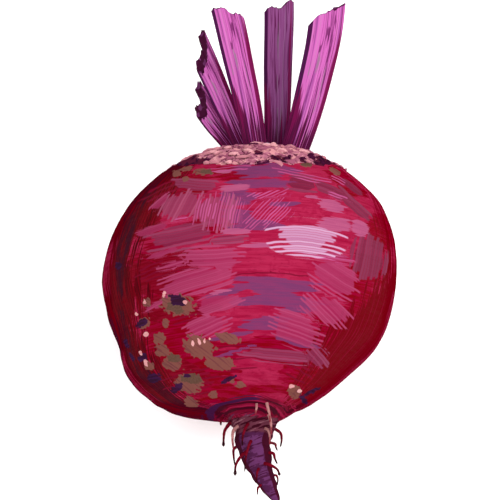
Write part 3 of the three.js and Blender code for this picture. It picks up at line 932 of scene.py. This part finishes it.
def flakes_piece(material):
    """Small curled scales of cork round the crown, each set a little into the skin."""
    rng = np.random.default_rng(5)
    verts, faces, hues = [], [], []
    for _ in range(FLAKES):
        degrees = rng.uniform(-180, 180)
        front = max(math.cos(math.radians(degrees)), 0)
        along = rng.uniform(29.2 - 3.8 * front**2, 35.6)
        centre, normal = on_root(along, degrees), root_normal(along, degrees)
        round_way = Vector((0, 1, 0)).cross(normal).normalized()
        turn = rng.normal(0, 0.5)
        a = round_way * math.cos(turn) + normal.cross(round_way) * math.sin(turn)
        b = normal.cross(a)
        half_a = rng.uniform(0.8, 2.2)
        half_b = half_a * rng.uniform(0.4, 0.75)
        thick = rng.uniform(0.25, 0.5)
        hue, shrink = flake_hue(rng, centre, normal)
        half_a *= shrink
        wobble = rng.uniform(0.6, 1.3, FLAKE_SIDES)
        curl = rng.uniform(-0.1, 0.5)
        faces += tube_faces(FLAKE_LEVELS, FLAKE_SIDES, len(verts))
        for level in range(FLAKE_LEVELS):
            up = level / (FLAKE_LEVELS - 1)
            size = math.cos(up * math.pi / 2) ** 0.5 if level else 1.0
            for k in range(FLAKE_SIDES):
                ang = math.tau * k / FLAKE_SIDES
                x, y = math.cos(ang) * wobble[k] * size, math.sin(ang) * wobble[k] * size
                lift = (thick + FLAKE_SUNK) * up - FLAKE_SUNK + curl * 0.3 * x * x * up
                verts.append(centre + a * (x * half_a) + b * (y * half_b) + normal * lift)
                # painted shade: each flake is darker low down, towards the skin
                hues.append(hue - 0.18 * (1 - up))
    return make_piece("crown_flakes", verts, faces, None, material, {"hue": hues})


# ---- Leaf stalks --------------------------------------------------------------------------

# The section of a stalk with a half width of 1, its groove on the negative side.
SECTION = [
    (-1, 0), (-0.7, -0.27), (-0.25, -0.1), (0.25, -0.1), (0.7, -0.27),
    (1, 0), (0.76, 0.36), (0.28, 0.54), (-0.28, 0.54), (-0.76, 0.36),
]
FOOT_DEPTH = 2.5  # how far a stalk runs on into the crown, in mm

# The foot and the tip are places across from the axis, beyond the crown and up from the axis, in
# mm. The middle bows sideways, half is the half width at foot and tip, and lean turns the
# section, in degrees. The cut slopes across and through the stalk, and tear is its torn edge:
# across the stalk, and how far it reaches in mm.
STALKS = {
    "leaf_stalk_far_left": dict(
        foot=(-2.8, 0, -4.6), tip=(-13.7, 16, -6.6), bow=-0.2, half=(1.9, 3.2), lean=-22,
        cut=0.2, slant=0.2, paint="pink",
        tear=[
            (-1, 0.1), (-0.7, 0.5), (-0.3, -0.4), (0, -0.9), (0.4, -0.7), (0.8, -0.3), (1, 0),
        ],
    ),
    "leaf_stalk_left": dict(
        foot=(-0.9, 0, -0.4), tip=(-13.1, 28.8, -1.6), bow=-0.1, half=(2.4, 3.2), lean=-18,
        cut=0.15, slant=0.12, paint="pink",
        tear=[
            (-1, 0.6), (-0.75, 0), (-0.5, -0.8), (-0.2, 0.1), (0.2, -0.7), (0.6, -0.1),
            (1, -0.1),
        ],
    ),
    "leaf_stalk_centre_left": dict(
        foot=(1.7, 0, 4.6), tip=(-6.2, 38, 6.6), bow=0.4, half=(3.0, 4.1), lean=-6,
        cut=-0.035, slant=0, paint="pink",
        tear=[
            (-1, -0.6), (-0.85, 0.3), (-0.4, 0.5), (0, 0), (0.25, -1.2), (0.4, -1.4),
            (0.55, -0.9), (0.8, -1), (0.92, -1.6), (1, -2.4),
        ],
    ),
    "leaf_stalk_centre": dict(
        foot=(7.2, 0, -2.3), tip=(8.2, 42.6, -6.4), bow=0.2, half=(3.1, 4.0), lean=180,
        cut=0.02, slant=0, paint="dark",
        tear=[
            (-1, 0), (-0.9, 0.6), (-0.4, 0.7), (-0.1, 0.1), (0.15, 0.1), (0.4, 0.8), (0.8, 1.3),
            (1, 1.2),
        ],
    ),
    "leaf_stalk_right": dict(
        foot=(11.8, -1, 3), tip=(21.2, 37.2, 5.4), bow=1.2, half=(3.7, 4.8), lean=10,
        cut=0.09, slant=0, paint="pink",
        tear=[
            (-1, -0.8), (-0.85, 0.2), (-0.6, 1.2), (-0.35, 1), (-0.2, 0.3), (-0.05, 0.7),
            (0.3, 0.2), (0.7, -0.3), (0.9, 0), (1, 0.4),
        ],
    ),
}

STALK_SIDES = 96
STALK_ROWS = 90
# The rings that close a torn end: their size, how deep they lie in mm, and how torn they look.
TORN_RINGS = ((0.95, -0.1, 0.6), (0.82, 0.4, 0.9), (0.6, 1.2, 1.0), (0.3, 1.6, 0.8))


def stalk_section(seed):
    """The frame's section, rounded, with ribs on it: places across and deep, shares of the way
    round, and which of the points lie in the groove."""
    loop = smooth_curve(SECTION + SECTION[:1], 24)[:-1]
    closed = np.vstack([loop, loop[:1]])
    run_round = np.concatenate([[0], np.cumsum(np.linalg.norm(np.diff(closed, axis=0), axis=1))])
    share = np.linspace(0, 1, STALK_SIDES, endpoint=False)
    x, y = (np.interp(share * run_round[-1], run_round, closed[:, k]) for k in range(2))
    in_groove = y < -0.02
    ribs = []
    for angle in share * math.tau:
        lump = noise.noise((math.cos(angle) * 4.5 + seed, math.sin(angle) * 4.5, seed))
        ribs.append(0.05 * lump + 0.028 * math.cos(17 * angle + seed))
    rib = np.array(ribs)
    return x * (1 + rib), y + rib * np.sign(y), share, in_groove


class StalkPath:
    """A stalk's middle line, from inside the crown to its tip, and the rings square to it."""

    def __init__(self, facts):
        start, self.end = (
            np.array([x, CROWN_TOP + beyond, AXIS_HEIGHT + up])
            for x, beyond, up in (facts["foot"], facts["tip"])
        )
        run = (self.end - start) / np.linalg.norm(self.end - start)
        middle = (start + self.end) / 2 + np.array([facts["bow"], 0, 0])
        self.start = start - run * FOOT_DEPTH
        self.bend = 2 * middle - (self.start + self.end) / 2
        self.length = np.linalg.norm(self.end - self.start)
        self.foot_half, self.tip_half = facts["half"]
        lean = math.radians(facts["lean"])
        self.up = np.array([math.sin(lean), 0, math.cos(lean)])

    def ring(self, reach, x, y, sink=0.0):
        """A ring of points: how far along each one is, and its place in the section."""
        t = np.minimum(reach, 1)[:, None]
        middle = (1 - t) ** 2 * self.start + 2 * t * (1 - t) * self.bend + t**2 * self.end
        ahead = 2 * (1 - t) * (self.bend - self.start) + 2 * t * (self.end - self.bend)
        ahead /= np.linalg.norm(ahead, axis=1)[:, None]
        side = np.cross(self.up, ahead)
        side /= np.linalg.norm(side, axis=1)[:, None]
        face = np.cross(ahead, side)
        half = self.foot_half + (self.tip_half - self.foot_half) * np.sin(t * np.pi / 2)
        beyond = (np.maximum(reach - 1, 0) * self.length - sink)[:, None]
        return middle + side * x[:, None] * half + face * y[:, None] * half + ahead * beyond


def stalk_piece(name, facts, material, seed):
    path = StalkPath(facts)
    sx, sy, share, in_groove = stalk_section(seed)
    # q runs from -1 at the side away from the key light to 1 at the side towards it
    q = sx if abs(facts["lean"]) > 90 else -sx
    jag = np.array([noise.noise((x * 3.4 + seed, y * 3.4, seed)) for x, y in zip(sx, sy)])
    fine = np.array([noise.noise((x * 9 + seed, y * 9, -seed)) for x, y in zip(sx, sy)])
    tear = np.interp(q, *np.array(facts["tear"]).T) + 0.5 * jag + 0.25 * fine
    reach = 1 + facts["cut"] * q - facts["slant"] * sy * 2 + tear / path.length
    groove = np.where(in_groove & (facts["paint"] == "pink"), 0.8, 0)
    # painted shade along the side away from the key light and at the outer edge, over a faint
    # streaked ground
    flank_shade = 0.15 + 0.65 * fall(q, -0.84, -0.72) + 0.5 * rise(q, 0.94, 0.99)
    verts = []
    masks = {key: [] for key in ("around", "length", "groove", "foot", "torn", "flank_shade", "maroon_and_foot_shade")}

    def add_ring(along, x, y, torn, sink=0.0):
        verts.extend(path.ring(along, x, y, sink))
        t = np.minimum(along, 1)
        # darker maroon on the side towards the key light, most near the foot, and painted shade in
        # a wedge on the far side near the foot
        foot_shade_wedge = fall(q, -0.7, -0.1) * np.clip(1.25 - 2 * t, 0, 1)
        lit = rise(q, 0.45, 0.85) * (1 - 0.6 * t)
        masks["around"].extend(share)
        masks["length"].extend(t)
        masks["groove"].extend(groove)
        masks["flank_shade"].extend(flank_shade)
        masks["maroon_and_foot_shade"].extend(0.1 + 0.9 * np.maximum(lit, foot_shade_wedge))
        masks["foot"].extend(0.7 * fall(t * path.length, FOOT_DEPTH - 0.5, FOOT_DEPTH + 20))
        masks["torn"].extend(np.full(STALK_SIDES, torn))

    for t in np.linspace(0, 1, STALK_ROWS) ** 0.9:
        sway = 0.02 * math.sin(t * 9 + seed)
        add_ring(t * reach, sx + sway, sy, 0.8 if t == 1 else 0.0)
    # the torn end closes in rings that shrink about the section's middle and sink into it
    for shrink, sink, torn in TORN_RINGS:
        add_ring(reach, sx * shrink, (sy - 0.16) * shrink + 0.16, torn, sink)
    faces = tube_faces(STALK_ROWS + len(TORN_RINGS), STALK_SIDES)
    return make_piece(name + "_ribbed", verts, faces, name, material, masks)


# ---- Side roots ---------------------------------------------------------------------------

GAP = 0.35  # the frame's gap between a side root and the root

# Along the root, degrees round it from the top, length, how far the middle and the end stand
# off it, sideways sway, and radius.
SIDE_ROOTS = [
    (-38.4, -84, 1.2, 0.3, 0.2, 0, 0.4), (-39.7, -80, 4.7, 1.9, 2, 0, 0.5),
    (-41, -54, 6.2, 1.3, 0.9, 0, 0.5), (-40.9, -18, 5.8, 0.8, 0.5, 1.3, 0.46),
    (-48, -31, 6.2, 1.7, 1.3, 2.7, 0.52), (-36.9, 16, 2.2, 0.4, 0.4, 0.4, 0.36),
    (-36.6, 30, 4.4, 0.5, 0.5, -0.8, 0.44), (-38.7, 36, 4.8, 0.4, 0.1, -0.4, 0.46),
    (-41.9, 34, 4.4, 0.9, 0.6, -0.4, 0.42), (-45, 88, 2, 0.7, 1.1, 0, 0.4),
    (-48.1, 57, 3.5, 1, 1.8, -0.5, 0.48), (-51.2, 22, 3.2, 1.6, 1.4, -3.6, 0.5),
    (-45.3, -8, 8.6, 0.8, 1.2, 1.5, 0.44), (-52.6, -12, 3.6, 0.8, 0.8, 0.3, 0.38),
    (-56.6, -50, 2, 0.7, 0.8, 0, 0.36), (-40.6, 112, 4.6, 1.6, 1.2, 0, 0.46),
    (-43.4, 150, 6.2, 1.2, 1, 0.5, 0.46), (-49.2, 176, 5.6, 1.6, 1, -0.8, 0.46),
    (-41.4, -158, 5.6, 1.4, 0.9, -0.4, 0.46), (-45.2, -118, 5.2, 1, 0.7, 0.6, 0.44),
    (-53.2, 128, 3.2, 1.1, 0.8, 0.4, 0.38),
]
PALE = (3, 6, 7, 8, 9)  # the paler ones, counted from 1
BULBS = (2, 5, 12)  # the ones that end in a small bulb
SIDE_ROOT_SIDES = 12


def side_root_piece(number, facts, material):
    along, degrees, run, mid_off, end_off, sway, radius = facts
    start = on_root(along, degrees)
    axis = Vector((0, 1, 0))
    out = root_normal(along, degrees)
    sideways = out.cross(axis).normalized()

    def at(outward, down, across):
        return start + out * outward - axis * down + sideways * across

    def size_at(t):
        """The radius: it thins along the root, swells in a bulb if it has one, and closes."""
        size = 0.86 * radius * (1.25 - 0.75 * t) * (1 + 0.12 * noise.noise((t * 9, number, 0)))
        if number in BULBS:
            size += radius * 0.45 * math.exp(-(((t - 0.93) / 0.07) ** 2))
        return size * math.sqrt(max(1 - (max(t - 0.9, 0) / 0.1) ** 2, 0.02))

    route = [
        at(-radius * 1.6, 0, 0),
        at(GAP * 2 + mid_off * 0.75, run * 0.14, sway * 0.25),
        at(GAP * 2 + mid_off, run * 0.5, sway * 0.8),
        at(GAP * 2 + end_off, run, sway),
    ]
    path = smooth_curve(route, 9)
    verts, lengths = [], []
    count = len(path)
    for i, spot in enumerate(path):
        t = i / (count - 1)
        ahead = Vector(path[min(i + 1, count - 1)] - path[max(i - 1, 0)]).normalized()
        a = ahead.cross(sideways).normalized()
        b = ahead.cross(a)
        size = size_at(t)
        for k in range(SIDE_ROOT_SIDES):
            ang = math.tau * k / SIDE_ROOT_SIDES
            verts.append(Vector(spot) + (a * math.cos(ang) + b * math.sin(ang)) * size)
            lengths.append(t)
    faces = [f[::-1] for f in tube_faces(count, SIDE_ROOT_SIDES)]
    node = f"side_root_{number:02d}"
    masks = {"length": lengths}
    return make_piece(node + "_hair", verts, faces, node, material, masks)


# ---- Putting it together ------------------------------------------------------------------

root_piece(skin_material())
flakes_piece(flake_material())

stalk_paints = {
    "pink": stalk_material("stalk_pink", "E070C6", "EA8AD2", "B254A6", "6E1A5C", "A8829C"),
    "dark": stalk_material("stalk_purple", "96508C", "A870A0", "7E3E74", "5E124A", "8A7484"),
}
for seed, (name, facts) in enumerate(STALKS.items()):
    stalk_piece(name, facts, stalk_paints[facts["paint"]], 3.7 * seed + 1)

dark_hair = side_root_material("side_root_crimson", "7C0A22", "2E0610")
pale_hair = side_root_material("side_root_pale", "C88888", "8A2A38")
for number, facts in enumerate(SIDE_ROOTS, 1):
    side_root_piece(number, facts, pale_hair if number in PALE else dark_hair)

# ---- Stage, light and camera --------------------------------------------------------------

AIM_ACROSS, AIM_UP = 0.15, 8.22  # the middle of the picture on the sheet, in mm
PICTURE_WIDTH = 135.7  # how much of the sheet the picture takes in, in mm
LENS = 400
SENSOR = 36

scene = bpy.context.scene
scene.view_settings.view_transform = "Standard"
scene.view_settings.look = "None"

bpy.ops.mesh.primitive_plane_add(size=6, location=(0, 0, -0.0002))
floor = bpy.context.object
floor.name = "floor"
floor.data.materials.append(floor_material())

world = bpy.data.worlds.new("studio")
scene.world = world
world.use_nodes = True
background = world.node_tree.nodes["Background"]
background.inputs["Color"].default_value = (1.0, 0.99, 0.985, 1)
background.inputs["Strength"].default_value = 1.15

toward_camera = Vector((0, -math.sin(CAMERA_TIP), math.cos(CAMERA_TIP)))
picture_up = Vector((0, math.cos(CAMERA_TIP), math.sin(CAMERA_TIP)))
middle = (Vector((AIM_ACROSS, 0, AXIS_HEIGHT)) + picture_up * AIM_UP) * MM


def softbox(name, right, up, toward, size, watts):
    """An area light, placed from the picture's middle as the camera sees it, in metres."""
    spot = middle + Vector((1, 0, 0)) * right + picture_up * up + toward_camera * toward
    data = bpy.data.lights.new(name, "AREA")
    data.shape = "RECTANGLE"
    data.size, data.size_y = size
    data.energy = watts
    light = bpy.data.objects.new(name, data)
    light.location = spot
    light.visible_camera = False
    light.rotation_euler = (middle - spot).to_track_quat("-Z", "Y").to_euler()
    scene.collection.objects.link(light)


softbox("key", 0.6, 0.42, 0.7, (0.7, 0.5), 5.75)
softbox("overhead", 0, 0, 1.1, (1.4, 1.4), 12.5)

camera_data = bpy.data.cameras.new("camera")
camera_data.lens = LENS
camera_data.sensor_width = SENSOR
camera_data.clip_start = 0.01
camera = bpy.data.objects.new("camera", camera_data)
camera.location = middle + toward_camera * (PICTURE_WIDTH * MM * LENS / SENSOR)
camera.rotation_euler = (CAMERA_TIP, 0, 0)
scene.collection.objects.link(camera)
scene.camera = camera
